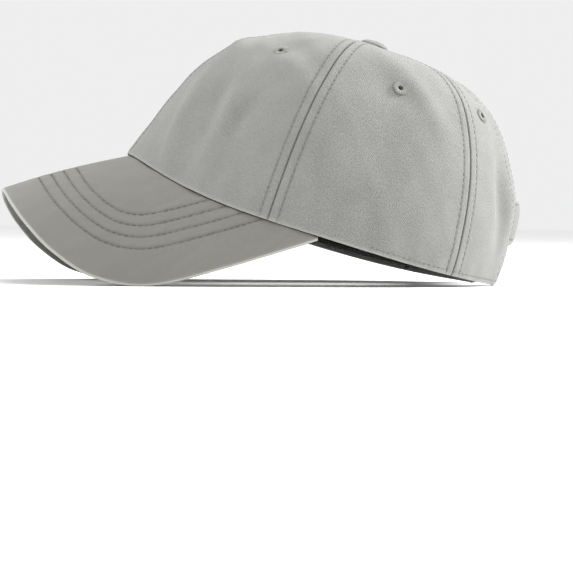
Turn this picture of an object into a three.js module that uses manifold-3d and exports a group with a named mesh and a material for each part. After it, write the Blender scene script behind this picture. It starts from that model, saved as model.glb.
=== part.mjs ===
// Ponytail baseball cap in brushed cotton: six crown panels, a curved peak, a tall slot
// down the back and a plain strap across it. Millimetres, +Z up, the peak points along -Y.
import * as THREE from 'three';
import { mergeVertices } from 'three/addons/utils/BufferGeometryUtils.js';
import Module from 'manifold-3d';

// Crown
const CROWN_WIDTH = 155.4; // ear to ear, across the rim
const CROWN_FRONT = 109.9; // middle of the head to the front of the rim
const CROWN_BACK = 90.7; // middle of the head to the back of the rim
const CROWN_HEIGHT = 104.5; // button above the side of the rim
const BUTTON_FORWARD = 2.8; // button ahead of the middle of the head
const RIM_RISE = 13.7; // the rim lifts this much over the forehead
const RIM_TAIL = 5.5; // and this much at the nape
const FRONT_SEAM = 68.2; // degrees round from the front
const SIDE_SEAM = 128.5;
const CLOTH = 1.3; // one panel, doubled and pressed
const GAP = 0.3; // clearance between neighbouring pieces
const PANEL_TOP = 0.02; // level where the panels start, under the button
const SEAM_DIP = 0.8;
const SEAM_REACH = 2.4;

// Peak
const PEAK_REACH = 55.4; // ahead of the front of the rim
const PEAK_DROP = 50.5; // lowest part of its edge under the rim plane
const PEAK_SPREAD = 82; // degrees of rim on each side that the peak takes
const PEAK_CLOTH = 1.1;
const PEAK_END = 1.6; // width left where the peak runs out
const PEAK_SWELL = 1.2; // how far its middle stands above straight lines

// Slot for the hair, and the strap across it
const SLOT_HALF = 20;
const SLOT_TOP = 0.26; // level of its top
const SLOT_ARCH = 0.11; // levels taken by the rounded top
const SLOT_CORNER = 4; // rounding where the slot meets the rim
const STRAP_HALF = 46; // reach of its end that lies outside, from the middle of the slot
const STRAP_TUCK = 7; // its other end passes this far under the edge of the slot
const STRAP_LOW = 0.87; // levels of its edges
const STRAP_HIGH = 0.714;
const STRAP_CLOTH = 1.4;
const STRAP_GAP = 0.5;
const STRAP_BULGE = 2.6;

// Small parts
const BAND_HEIGHT = 28;
const BAND_INSET = 2.5; // above the rim
const BAND_CLOTH = 1.1;
const BAND_GAP = 0.6;
const LABEL_WIDTH = 27;
const LABEL_HEIGHT = 24;
const LABEL_CLOTH = 0.5;
const LABEL_AT = -101; // degrees round the rim
const BUTTON_RADIUS = 7.5;
const BUTTON_HEIGHT = 3.4;
const EYELET_RADIUS = 3.9;
const EYELET_HOLE = 1.35;
const EYELET_NECK = 0.5; // wall of the ring inside the hole
const EYELET_CLOTH = 0.8;
const EYELET_LIFT = 0.2; // underside of the collar over the cloth

// Profiles from the button (level 0) to the rim (level 1).
// Columns: level, share of the way out to the rim, share of the height.
const FRONT_PROFILE = [
  [0, 0, 1],
  [0.12, 0.203, 0.987],
  [0.25, 0.388, 0.94],
  [0.38, 0.55, 0.852],
  [0.52, 0.693, 0.73],
  [0.66, 0.804, 0.575],
  [0.8, 0.878, 0.39],
  [0.91, 0.941, 0.195],
  [1, 1, 0],
];
const EAR_PROFILE = [
  [0, 0, 1],
  [0.12, 0.28, 0.977],
  [0.25, 0.505, 0.946],
  [0.38, 0.669, 0.85],
  [0.52, 0.798, 0.698],
  [0.66, 0.896, 0.52],
  [0.8, 0.959, 0.336],
  [0.91, 0.987, 0.161],
  [1, 1, 0],
];
const NAPE_PROFILE = [
  [0, 0, 1],
  [0.12, 0.276, 0.977],
  [0.25, 0.512, 0.93],
  [0.38, 0.698, 0.841],
  [0.52, 0.83, 0.7],
  [0.66, 0.915, 0.522],
  [0.8, 0.969, 0.334],
  [0.91, 0.999, 0.157],
  [1, 1, 0],
];

// Outer edge of the peak, from its middle (0) to where it meets the rim (1).
// Columns: share of the way round, share of half the crown's width,
// share of the reach back to the peak's ends, share of the drop.
const PEAK_EDGE = [
  [0, 0, 1, 0.438],
  [0.125, 0.256, 0.994, 0.465],
  [0.25, 0.489, 0.967, 0.554],
  [0.375, 0.689, 0.907, 0.701],
  [0.5, 0.839, 0.805, 0.879],
  [0.625, 0.94, 0.662, 1],
  [0.75, 0.999, 0.483, 0.925],
  [0.875, 1.018, 0.272, 0.555],
  [1, 1.002, 0, 0],
];

// Soft folds and dents. Columns: degrees round, level, turn of the fold from straight
// down (degrees), half length and half width as shares of the crown's half width, height mm.
const FOLDS = [
  [25, 0.83, 14, 0.34, 0.075, 1.5],
  [36, 0.77, 12, 0.36, 0.08, -1.6],
  [43, 0.74, 8, 0.26, 0.06, 1],
  [49, 0.77, -6, 0.24, 0.06, -1],
  [14, 0.5, 62, 0.42, 0.1, 1.1],
  [50, 0.48, 68, 0.3, 0.1, 1],
  [42, 0.435, 0, 0.15, 0.15, -1.3],
  [95.5, 0.43, 0, 0.15, 0.15, -1.1],
  [103, 0.42, 40, 0.34, 0.09, 1.3],
  [90, 0.62, 10, 0.4, 0.22, -1.2],
  [150, 0.72, 4, 0.3, 0.07, -1.3],
  [157, 0.78, 0, 0.24, 0.06, 1],
  [-25, 0.8, -12, 0.34, 0.09, 1.2],
  [-40, 0.75, -10, 0.34, 0.09, -1.3],
  [-98, 0.44, -30, 0.36, 0.1, 1.1],
  [-85, 0.66, 0, 0.4, 0.2, -1],
  [-148, 0.7, 0, 0.3, 0.09, -1],
];

// Embroidered air holes, one to a panel. Columns: seam before it, seam after it, share between them, level.
const EYELETS = [
  [0, FRONT_SEAM, 0.616, 0.435],
  [FRONT_SEAM, SIDE_SEAM, 0.453, 0.43],
  [SIDE_SEAM, 180, 0.262, 0.43],
].flatMap(([from, to, share, level]) => {
  const deg = from + (to - from) * share;
  return [[deg, level], [-deg, level]];
});

const CLOTH_GREY = '#a5a59d';
const PEAK_GREY = '#96968c';
const THREAD_GREY = '#8b8b83';
const BAND_GREY = '#545350';
const LABEL_BLACK = '#171616';

const RAD = Math.PI / 180;
const HALF_WIDTH = CROWN_WIDTH / 2;

// Smooth curve through the rows of a table; the first column is the position.
function tableAt(rows, at, mirrored) {
  const reach = Math.abs(at);
  let k = 0;
  while (k < rows.length - 2 && reach > rows[k + 1][0]) k += 1;
  const span = rows[k + 1][0] - rows[k][0];
  const t = (reach - rows[k][0]) / span;
  const slope = (i, c) => {
    if (i === 0) {
      if (mirrored && c !== 1) return 0;
      return (rows[1][c] - rows[0][c]) / (rows[1][0] - rows[0][0]);
    }
    if (i === rows.length - 1) {
      return (rows[i][c] - rows[i - 1][c]) / (rows[i][0] - rows[i - 1][0]);
    }
    return (rows[i + 1][c] - rows[i - 1][c]) / (rows[i + 1][0] - rows[i - 1][0]);
  };
  const value = (c) => {
    const a = rows[k][c];
    const b = rows[k + 1][c];
    const ma = slope(k, c) * span;
    const mb = slope(k + 1, c) * span;
    const t2 = t * t;
    const t3 = t2 * t;
    return (2 * t3 - 3 * t2 + 1) * a + (t3 - 2 * t2 + t) * ma
      + (3 * t2 - 2 * t3) * b + (t3 - t2) * mb;
  };
  return rows[0].slice(1).map((unused, c) => value(c + 1));
}

// The rim at an angle round the head, 0 at the front, positive on the wearer's left.
function rimPoint(deg) {
  const c = Math.cos(deg * RAD);
  const s = Math.sin(deg * RAD);
  const reach = c > 0 ? CROWN_FRONT : CROWN_BACK;
  const rise = RIM_RISE * Math.max(c, 0) ** 3.8 + RIM_TAIL * Math.max(-c, 0) ** 2.6;
  return new THREE.Vector3(HALF_WIDTH * s, -reach * c, rise);
}

// Smooth crown before folds and seams.
function crownPoint(deg, level) {
  const rim = rimPoint(deg);
  const c = Math.cos(deg * RAD);
  const s = Math.sin(deg * RAD);
  const front = tableAt(c > 0 ? FRONT_PROFILE : NAPE_PROFILE, level, false);
  const ear = tableAt(EAR_PROFILE, level, false);
  const out = front[0] * c * c + ear[0] * s * s;
  const up = front[1] * c * c + ear[1] * s * s;
  return new THREE.Vector3(
    rim.x * out,
    -BUTTON_FORWARD + (rim.y + BUTTON_FORWARD) * out,
    rim.z + (CROWN_HEIGHT - rim.z) * up,
  );
}

function crownFrame(deg, level) {
  const here = crownPoint(deg, level);
  const round = crownPoint(deg + 0.2, level).sub(crownPoint(deg - 0.2, level));
  const a = Math.max(level - 0.004, 0.002);
  const b = Math.min(level + 0.004, 1);
  const down = crownPoint(deg, b).sub(crownPoint(deg, a)).normalize();
  const perDegree = round.length() / 0.4;
  const normal = round.clone().cross(down).normalize();
  if (normal.x * here.x + normal.y * here.y + normal.z * (here.z + 40) < 0) normal.negate();
  return { here, normal, down, round: round.normalize(), perDegree };
}

const foldFrames = FOLDS.map(([deg, level, turn, long, wide, height]) => {
  const frame = crownFrame(deg, level);
  const along = frame.down.clone().multiplyScalar(Math.cos(turn * RAD));
  along.addScaledVector(frame.round, Math.sin(turn * RAD));
  const across = frame.normal.clone().cross(along).normalize();
  return { centre: frame.here, along, across, long: long * HALF_WIDTH, wide: wide * HALF_WIDTH, height };
});

// Height of the folds over the smooth crown.
function foldRelief(frame) {
  let height = 0;
  for (const fold of foldFrames) {
    const d = frame.here.clone().sub(fold.centre);
    if (d.length() > 60) continue;
    const a = d.dot(fold.along) / fold.long;
    const b = d.dot(fold.across) / fold.wide;
    height += fold.height * Math.exp(-a * a - b * b);
  }
  return height;
}

// The same with the seam grooves.
function relief(deg, frame) {
  let groove = 0;
  for (const seam of [0, FRONT_SEAM, SIDE_SEAM, 180]) {
    const away = (Math.abs(Math.abs(deg) - seam) * frame.perDegree) / SEAM_REACH;
    groove = Math.max(groove, Math.exp(-away * away));
  }
  const fade = Math.min(frame.perDegree / 0.35, 1);
  return foldRelief(frame) - SEAM_DIP * groove * fade * fade;
}

// A point at a depth under the outside of the cloth.
function clothPoint(deg, level, depth) {
  const frame = crownFrame(deg, level);
  return frame.here.clone().addScaledVector(frame.normal, relief(deg, frame) - depth);
}

// A point inside the crown that passes under the seam grooves.
function linedPoint(deg, level, depth) {
  const frame = crownFrame(deg, level);
  return frame.here.clone().addScaledVector(frame.normal, foldRelief(frame) - SEAM_DIP - depth);
}

// Angle where the crown lies a given distance to the side, on the back half.
function backAngle(across, level) {
  let low = 95;
  let high = 180;
  for (let i = 0; i < 40; i += 1) {
    const mid = (low + high) / 2;
    if (crownPoint(mid, level).x > across) low = mid;
    else high = mid;
  }
  return (low + high) / 2;
}

// Level that lies a given distance up the cloth from the rim.
function levelAbove(deg, distance) {
  let level = 1;
  let walked = 0;
  let last = crownPoint(deg, 1);
  while (walked < distance && level > 0.1) {
    level -= 0.004;
    const next = crownPoint(deg, level);
    walked += next.distanceTo(last);
    last = next;
  }
  return level;
}

// Half width of the slot at a level.
function slotHalf(level) {
  if (level <= SLOT_TOP) return GAP / 2;
  const arch = Math.min((level - SLOT_TOP) / SLOT_ARCH, 1);
  const round = SLOT_HALF * Math.sqrt(1 - (1 - arch) * (1 - arch));
  const span = SLOT_CORNER / 160;
  const corner = Math.min(Math.max((level - 1 + span) / span, 0), 1);
  return Math.max(GAP / 2, round) + SLOT_CORNER * (1 - Math.sqrt(1 - corner * corner));
}

// Closed solid between an outside and an inside grid of points.
function shell(cols, rows, outside, inside) {
  const positions = [];
  const index = [];
  for (const face of [outside, inside]) {
    for (const row of rows) {
      for (const col of cols) {
        const p = face(col, row);
        positions.push(p.x, p.y, p.z);
      }
    }
  }
  const w = cols.length;
  const h = rows.length;
  const at = (side, i, j) => side * w * h + j * w + i;
  const quad = (a, b, c, d) => index.push(a, b, c, a, c, d);
  for (let j = 0; j + 1 < h; j += 1) {
    for (let i = 0; i + 1 < w; i += 1) {
      quad(at(0, i, j), at(0, i + 1, j), at(0, i + 1, j + 1), at(0, i, j + 1));
      quad(at(1, i, j), at(1, i, j + 1), at(1, i + 1, j + 1), at(1, i + 1, j));
    }
  }
  const border = [];
  for (let i = 0; i < w - 1; i += 1) border.push([i, 0]);
  for (let j = 0; j < h - 1; j += 1) border.push([w - 1, j]);
  for (let i = w - 1; i > 0; i -= 1) border.push([i, h - 1]);
  for (let j = h - 1; j > 0; j -= 1) border.push([0, j]);
  border.forEach(([i, j], k) => {
    const [m, n] = border[(k + 1) % border.length];
    quad(at(0, m, n), at(0, i, j), at(1, i, j), at(1, m, n));
  });
  return outward(solidGeometry(positions, index));
}

function solidGeometry(positions, index) {
  const geometry = new THREE.BufferGeometry();
  geometry.setAttribute('position', new THREE.Float32BufferAttribute(positions, 3));
  geometry.setIndex(index);
  return geometry;
}

// Turns a solid whose faces look inwards.
function outward(geometry) {
  const p = geometry.getAttribute('position');
  const index = geometry.getIndex();
  const a = new THREE.Vector3();
  const b = new THREE.Vector3();
  const c = new THREE.Vector3();
  let volume = 0;
  for (let i = 0; i < index.count; i += 3) {
    a.fromBufferAttribute(p, index.getX(i));
    b.fromBufferAttribute(p, index.getX(i + 1));
    c.fromBufferAttribute(p, index.getX(i + 2));
    volume += a.dot(b.cross(c));
  }
  if (volume < 0) {
    for (let i = 0; i < index.count; i += 3) {
      const swap = index.getX(i);
      index.setX(i, index.getX(i + 1));
      index.setX(i + 1, swap);
    }
  }
  return geometry;
}

const wasm = await Module();
wasm.setup();

function asManifold(geometry) {
  const bare = geometry.clone();
  bare.deleteAttribute('uv');
  bare.deleteAttribute('normal');
  const merged = mergeVertices(bare, 1e-4);
  return new wasm.Manifold(new wasm.Mesh({
    numProp: 3,
    vertProperties: new Float32Array(merged.getAttribute('position').array),
    triVerts: new Uint32Array(merged.getIndex().array),
  }));
}

function fromManifold(solid) {
  const mesh = solid.getMesh();
  return solidGeometry(Array.from(mesh.vertProperties), Array.from(mesh.triVerts));
}

// Stands a shape made along +Y on the crown, its foot at the given height over the cloth.
function onCrown(geometry, deg, level, height) {
  const frame = crownFrame(deg, level);
  const foot = frame.here.clone().addScaledVector(frame.normal, relief(deg, frame) + height);
  const turn = new THREE.Quaternion().setFromUnitVectors(new THREE.Vector3(0, 1, 0), frame.normal);
  geometry.applyQuaternion(turn);
  geometry.translate(foot.x, foot.y, foot.z);
  return geometry;
}

// Crown panels: columns run from one seam to the next, rows from the button to the rim.
const PANEL_COLUMNS = [0, 0.025, 0.06, 0.13, 0.25, 0.41, 0.59, 0.75, 0.87, 0.94, 0.975, 1];
const PANEL_ROWS = [
  PANEL_TOP, 0.06, 0.12, 0.19, 0.26, 0.34, 0.42, 0.5, 0.58, 0.66, 0.74, 0.81, 0.88, 0.94, 0.975, 1,
];
const BACK_ROWS = [
  PANEL_TOP, 0.07, 0.13, 0.2, SLOT_TOP, SLOT_TOP + SLOT_ARCH * 0.04, SLOT_TOP + SLOT_ARCH * 0.15,
  SLOT_TOP + SLOT_ARCH * 0.35, SLOT_TOP + SLOT_ARCH * 0.65, SLOT_TOP + SLOT_ARCH, 0.45, 0.53,
  0.61, 0.69, 0.76, 0.83, 0.89, 0.94, 0.975, 0.99, 1,
];

function panel(side, from, to, rows) {
  const place = (share, level, depth) => {
    const trimFrom = GAP / 2 / crownFrame(from, level).perDegree;
    const start = from + trimFrom;
    const end = to === 180
      ? backAngle(slotHalf(level), level)
      : to - GAP / 2 / crownFrame(to, level).perDegree;
    return clothPoint(side * (start + (end - start) * share), level, depth);
  };
  let solid = asManifold(shell(
    PANEL_COLUMNS,
    rows,
    (share, level) => place(share, level, 0),
    (share, level) => place(share, level, CLOTH),
  ));
  for (const [deg, level] of EYELETS) {
    if (Math.sign(deg) !== side || Math.abs(deg) < from || Math.abs(deg) > to) continue;
    const hole = EYELET_HOLE + EYELET_NECK + GAP;
    const drill = new THREE.CylinderGeometry(hole, hole, 12, 12);
    solid = solid.subtract(asManifold(onCrown(drill, deg, level, 0)));
    const seat = new THREE.CylinderGeometry(EYELET_RADIUS + GAP, EYELET_RADIUS + GAP, 6, 14);
    solid = solid.subtract(asManifold(onCrown(seat, deg, level, 3 + EYELET_LIFT - GAP)));
  }
  return fromManifold(solid);
}

// A ring of stitches round a hole: flat collar outside, neck through the cloth.
function eyelet(deg, level) {
  const neck = EYELET_HOLE + EYELET_NECK;
  const profile = [
    [EYELET_HOLE, -CLOTH],
    [neck, -CLOTH],
    [neck, EYELET_LIFT],
    [EYELET_RADIUS, EYELET_LIFT],
    [EYELET_RADIUS, EYELET_LIFT + EYELET_CLOTH * 0.6],
    [EYELET_RADIUS * 0.82, EYELET_LIFT + EYELET_CLOTH],
    [neck, EYELET_LIFT + EYELET_CLOTH],
    [EYELET_HOLE, EYELET_LIFT + EYELET_CLOTH * 0.6],
    [EYELET_HOLE, -CLOTH],
  ];
  const ring = new THREE.LatheGeometry(profile.map(([r, y]) => new THREE.Vector2(r, y)), 14);
  ring.deleteAttribute('uv');
  ring.deleteAttribute('normal');
  return outward(mergeVertices(onCrown(ring, deg, level, 0), 1e-4));
}

// Peak: share runs from -1 (wearer's right) to 1 (left), out from 0 (rim) to 1 (edge).
function peakInner(share) {
  const deg = share * PEAK_SPREAD;
  const frame = crownFrame(deg, 1);
  return clothPoint(deg, 1, CLOTH).addScaledVector(frame.down, GAP);
}

function peakOuter(share) {
  const [across, forward, drop] = tableAt(PEAK_EDGE, share, true);
  const end = rimPoint(PEAK_SPREAD);
  const tip = rimPoint(0).y - PEAK_REACH;
  return new THREE.Vector3(
    Math.sign(share) * across * HALF_WIDTH,
    end.y + (tip - end.y) * forward,
    end.z - drop * PEAK_DROP - PEAK_END * Math.abs(share) ** 6,
  );
}

function peakSkin(share, out) {
  const inner = peakInner(share);
  const outer = peakOuter(share);
  return inner.lerp(outer, out);
}

function peakNormal(share, out) {
  const s = Math.min(Math.max(share, -0.9), 0.9);
  const across = peakSkin(s + 0.01, out).sub(peakSkin(s - 0.01, out));
  const along = peakSkin(s, Math.min(out + 0.02, 1)).sub(peakSkin(s, Math.max(out - 0.02, 0)));
  const normal = across.cross(along).normalize();
  return normal.z < 0 ? normal.negate() : normal;
}

function peakPoint(share, out, depth) {
  const swell = PEAK_SWELL * Math.sin(Math.PI * out) * (1 - Math.abs(share) ** 3);
  return peakSkin(share, out).addScaledVector(peakNormal(share, out), swell - depth);
}

function peakCover(depth) {
  const cols = [];
  for (let i = -16; i <= 16; i += 1) cols.push(Math.sin(i * 0.084) / Math.sin(16 * 0.084));
  return shell(
    cols,
    [0, 0.1, 0.25, 0.42, 0.6, 0.78, 0.92, 1],
    (share, out) => peakPoint(share, out, depth),
    (share, out) => peakPoint(share, out, depth + PEAK_CLOTH),
  );
}

// Band inside the rim, open at the slot.
function sweatband() {
  const cols = [];
  for (let i = 0; i <= 52; i += 1) cols.push(i / 26 - 1);
  const place = (share, height, depth) => {
    const end = backAngle(SLOT_HALF + STRAP_TUCK + 1.5, 0.95);
    const deg = share * end;
    return linedPoint(deg, levelAbove(deg, height), depth);
  };
  const depth = CLOTH + BAND_GAP;
  return shell(
    cols,
    [BAND_INSET + BAND_HEIGHT, BAND_INSET + BAND_HEIGHT * 0.5, BAND_INSET],
    (share, height) => place(share, height, depth),
    (share, height) => place(share, height, depth + BAND_CLOTH),
  );
}

function innerLabel() {
  const perDegree = crownFrame(LABEL_AT, 1).perDegree;
  const depth = CLOTH + BAND_GAP + BAND_CLOTH + GAP + 0.15;
  const place = (across, height, under) => {
    const deg = LABEL_AT + across / perDegree;
    return linedPoint(deg, levelAbove(deg, height), depth + under);
  };
  const low = BAND_INSET + 2;
  return shell(
    [-0.5, -0.25, 0, 0.25, 0.5].map((share) => share * LABEL_WIDTH),
    [low + LABEL_HEIGHT, low + LABEL_HEIGHT / 2, low],
    (across, height) => place(across, height, 0),
    (across, height) => place(across, height, LABEL_CLOTH),
  );
}

// Strap across the slot, standing a little proud of it.
function closingStrap() {
  const cols = [];
  for (let i = -10; i <= 10; i += 1) cols.push(i / 10);
  const place = (share, level, depth) => {
    const across = share < 0 ? share * STRAP_HALF : share * (SLOT_HALF + STRAP_TUCK);
    const deg = Math.abs(across) < 0.01 ? 180 : Math.sign(across) * backAngle(Math.abs(across), level);
    const bulge = STRAP_BULGE * Math.exp(-((across / SLOT_HALF) ** 2) * 0.8);
    const under = THREE.MathUtils.smoothstep(across / SLOT_HALF, 0.1, 0.85);
    const outside = -STRAP_GAP - bulge;
    return clothPoint(deg, level, outside + (CLOTH + STRAP_GAP + STRAP_CLOTH - outside) * under + depth);
  };
  return shell(
    cols,
    [STRAP_HIGH, (STRAP_HIGH * 2 + STRAP_LOW) / 3, (STRAP_HIGH + STRAP_LOW * 2) / 3, STRAP_LOW],
    (share, level) => place(share, level, -STRAP_CLOTH),
    (share, level) => place(share, level, 0),
  );
}

function topButton() {
  const profile = [
    [0, 0],
    [BUTTON_RADIUS * 0.94, 0],
    [BUTTON_RADIUS, BUTTON_HEIGHT * 0.22],
    [BUTTON_RADIUS * 0.93, BUTTON_HEIGHT * 0.52],
    [BUTTON_RADIUS * 0.72, BUTTON_HEIGHT * 0.8],
    [BUTTON_RADIUS * 0.38, BUTTON_HEIGHT * 0.96],
    [0, BUTTON_HEIGHT],
  ];
  const dome = new THREE.LatheGeometry(profile.map(([r, y]) => new THREE.Vector2(r, y)), 28);
  dome.rotateX(Math.PI / 2);
  dome.translate(0, -BUTTON_FORWARD, CROWN_HEIGHT + GAP);
  dome.deleteAttribute('uv');
  dome.deleteAttribute('normal');
  return outward(mergeVertices(dome, 1e-4));
}

const cap = new THREE.Group();
cap.name = 'ponytail_cap';

function add(name, geometry, color, roughness) {
  const material = new THREE.MeshStandardMaterial({ color, roughness, metalness: 0 });
  const mesh = new THREE.Mesh(geometry, material);
  mesh.name = name;
  cap.add(mesh);
}

add('panel_front_left', panel(1, 0, FRONT_SEAM, PANEL_ROWS), CLOTH_GREY, 0.93);
add('panel_front_right', panel(-1, 0, FRONT_SEAM, PANEL_ROWS), CLOTH_GREY, 0.93);
add('panel_side_left', panel(1, FRONT_SEAM, SIDE_SEAM, PANEL_ROWS), CLOTH_GREY, 0.93);
add('panel_side_right', panel(-1, FRONT_SEAM, SIDE_SEAM, PANEL_ROWS), CLOTH_GREY, 0.93);
add('panel_back_left', panel(1, SIDE_SEAM, 180, BACK_ROWS), CLOTH_GREY, 0.93);
add('panel_back_right', panel(-1, SIDE_SEAM, 180, BACK_ROWS), CLOTH_GREY, 0.93);
add('peak_top_cover', peakCover(0), PEAK_GREY, 0.9);
add('peak_under_cover', peakCover(PEAK_CLOTH + GAP), PEAK_GREY, 0.9);
add('sweatband', sweatband(), BAND_GREY, 0.95);
add('inner_label', innerLabel(), LABEL_BLACK, 0.8);
add('closing_strap', closingStrap(), CLOTH_GREY, 0.93);
add('top_button', topButton(), CLOTH_GREY, 0.93);
const EYELET_NAMES = ['front', 'side', 'back'].flatMap((part) => [`eyelet_${part}_left`, `eyelet_${part}_right`]);
EYELETS.forEach(([deg, level], k) => add(EYELET_NAMES[k], eyelet(deg, level), THREAD_GREY, 0.85));

// The cap rests on both sides of its peak and on the back of its rim: the lean that
// brings both down to one level.
function lowest(points, lean) {
  const c = Math.cos(lean);
  const s = Math.sin(lean);
  return Math.min(...points.map((p) => p.z * c - p.y * s));
}

function restLean() {
  const peak = [];
  const back = [];
  for (let i = 0; i <= 40; i += 1) peak.push(peakPoint(i / 40, 1, PEAK_CLOTH * 2 + GAP));
  for (let i = 0; i <= 40; i += 1) back.push(clothPoint(150 + i / 2, 1, 0));
  let low = 5 * RAD;
  let high = 35 * RAD;
  for (let i = 0; i < 40; i += 1) {
    const mid = (low + high) / 2;
    if (lowest(peak, mid) < lowest(back, mid)) low = mid;
    else high = mid;
  }
  return (low + high) / 2;
}

const lean = new THREE.Matrix4().makeRotationX(-restLean());
for (const mesh of cap.children) mesh.geometry.applyMatrix4(lean);
const box = new THREE.Box3().setFromObject(cap);
const middle = box.getCenter(new THREE.Vector3());
for (const mesh of cap.children) {
  mesh.geometry.translate(-middle.x, -middle.y, -box.min.z);
  mesh.geometry.computeVertexNormals();
}

export default cap;
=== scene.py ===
"""Looks of the ponytail cap: cloth shells laid on the part's own surfaces, sewn threads, brushed twill."""

import math

import bmesh
import bpy
import numpy as np
from mathutils import Matrix, Vector
from mathutils.kdtree import KDTree


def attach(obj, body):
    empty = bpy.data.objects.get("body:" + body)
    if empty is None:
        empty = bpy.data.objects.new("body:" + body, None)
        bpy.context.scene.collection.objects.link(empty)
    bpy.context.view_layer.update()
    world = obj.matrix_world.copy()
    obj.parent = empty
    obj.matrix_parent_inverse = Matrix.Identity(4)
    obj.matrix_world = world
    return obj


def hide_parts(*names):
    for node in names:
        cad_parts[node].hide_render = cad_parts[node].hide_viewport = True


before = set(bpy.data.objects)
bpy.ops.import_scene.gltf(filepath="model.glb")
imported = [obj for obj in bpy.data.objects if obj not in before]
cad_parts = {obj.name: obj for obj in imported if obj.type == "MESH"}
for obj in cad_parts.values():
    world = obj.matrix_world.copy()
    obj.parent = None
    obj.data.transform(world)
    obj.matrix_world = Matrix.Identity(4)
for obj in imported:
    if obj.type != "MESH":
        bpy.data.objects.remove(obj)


def note_bounds():
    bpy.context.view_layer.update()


note_bounds()

# The sizes of the part, in millimetres and degrees, in the cap's own upright frame.
CROWN_WIDTH = 155.4
CROWN_FRONT = 109.9
CROWN_BACK = 90.7
CROWN_HEIGHT = 104.5
BUTTON_FORWARD = 2.8
RIM_RISE = 13.7
RIM_TAIL = 5.5
FRONT_SEAM = 68.2
SIDE_SEAM = 128.5
CLOTH = 1.3
GAP = 0.3
PEAK_REACH = 55.4
PEAK_DROP = 50.5
PEAK_SPREAD = 82
PEAK_THICK = 2.5
PEAK_END = 1.6
PEAK_SWELL = 1.2
SLOT_HALF = 20
SLOT_TOP = 0.26
SLOT_ARCH = 0.11
SLOT_CORNER = 4
STRAP_HALF = 46
STRAP_TUCK = 7
STRAP_LOW = 0.87
STRAP_HIGH = 0.714
STRAP_CLOTH = 1.4
STRAP_GAP = 0.5
STRAP_BULGE = 2.6
EDGE_BOW = 2.8
BOW_LEVEL = 0.745
FOLD_DEPTH = 1.8
BAND_HEIGHT = 28
BAND_INSET = 2.5
BAND_CLOTH = 1.1
BAND_DEPTH = 2.7
LABEL_WIDTH = 27
LABEL_HEIGHT = 24
LABEL_AT = -101
BUTTON_RADIUS = 7.5
BUTTON_HEIGHT = 3.4
BUTTON_NUDGE = 2.6
BUTTON_SUNK = 0.35
EYELET_CORD = 2.5
EYELET_CUT = 1.9
EYELET_LOOPS = 30
HALF_WIDTH = CROWN_WIDTH / 2
PANEL_LENGTH = 156.0

# How the upright cap leans, and where it stands in the row frame.
LEAN = math.radians(16.7917)
SHIFT = (0.0, 32.2986, 20.3858)

FRONT_PROFILE = [
    (0, 0, 1), (0.12, 0.203, 0.987), (0.25, 0.388, 0.94), (0.38, 0.55, 0.852), (0.52, 0.693, 0.73),
    (0.66, 0.804, 0.575), (0.8, 0.878, 0.39), (0.91, 0.941, 0.195), (1, 1, 0),
]
EAR_PROFILE = [
    (0, 0, 1), (0.12, 0.28, 0.977), (0.25, 0.505, 0.946), (0.38, 0.669, 0.85), (0.52, 0.798, 0.698),
    (0.66, 0.896, 0.52), (0.8, 0.959, 0.336), (0.91, 0.987, 0.161), (1, 1, 0),
]
NAPE_PROFILE = [
    (0, 0, 1), (0.12, 0.276, 0.977), (0.25, 0.512, 0.93), (0.38, 0.698, 0.841), (0.52, 0.83, 0.7),
    (0.66, 0.915, 0.522), (0.8, 0.969, 0.334), (0.91, 0.999, 0.157), (1, 1, 0),
]
PEAK_EDGE = [
    (0, 0, 1, 0.438), (0.125, 0.256, 0.994, 0.465), (0.25, 0.489, 0.967, 0.554),
    (0.375, 0.689, 0.907, 0.701), (0.5, 0.839, 0.805, 0.879), (0.625, 0.94, 0.662, 1),
    (0.75, 0.999, 0.483, 0.925), (0.875, 1.018, 0.272, 0.555), (1, 1.002, 0, 0),
]
# Degrees round, level, turn, half length and half width as shares of HALF_WIDTH, height.
FOLDS = [
    (25, 0.83, 14, 0.34, 0.075, 1.5),
    (36, 0.77, 12, 0.36, 0.08, -1.6),
    (43, 0.74, 8, 0.26, 0.06, 1),
    (49, 0.77, -6, 0.24, 0.06, -1),
    (14, 0.5, 62, 0.42, 0.1, 1.1),
    (50, 0.48, 68, 0.3, 0.1, 1),
    (42, 0.435, 0, 0.15, 0.15, -1.3),
    (95.5, 0.43, 0, 0.15, 0.15, -1.1),
    (103, 0.42, 40, 0.34, 0.09, 1.3),
    (90, 0.62, 10, 0.4, 0.22, -1.2),
    (150, 0.72, 4, 0.3, 0.07, -1.3),
    (157, 0.78, 0, 0.24, 0.06, 1),
    (-25, 0.8, -12, 0.34, 0.09, 1.2),
    (-40, 0.75, -10, 0.34, 0.09, -1.3),
    (-98, 0.44, -30, 0.36, 0.1, 1.1),
    (-85, 0.66, 0, 0.4, 0.2, -1),
    (-148, 0.7, 0, 0.3, 0.09, -1),
]
SIDES = ((1, "left"), (-1, "right"))
# Seam before, seam after, share between them, level.
EYELET_PLACES = {
    "front": (0, FRONT_SEAM, 0.616, 0.435),
    "side": (FRONT_SEAM, SIDE_SEAM, 0.453, 0.43),
    "back": (SIDE_SEAM, 180, 0.262, 0.43),
}
EYELETS = {
    f"eyelet_{part}_{word}": (side * (before + (after - before) * share), level)
    for part, (before, after, share, level) in EYELET_PLACES.items()
    for side, word in SIDES
}


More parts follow.
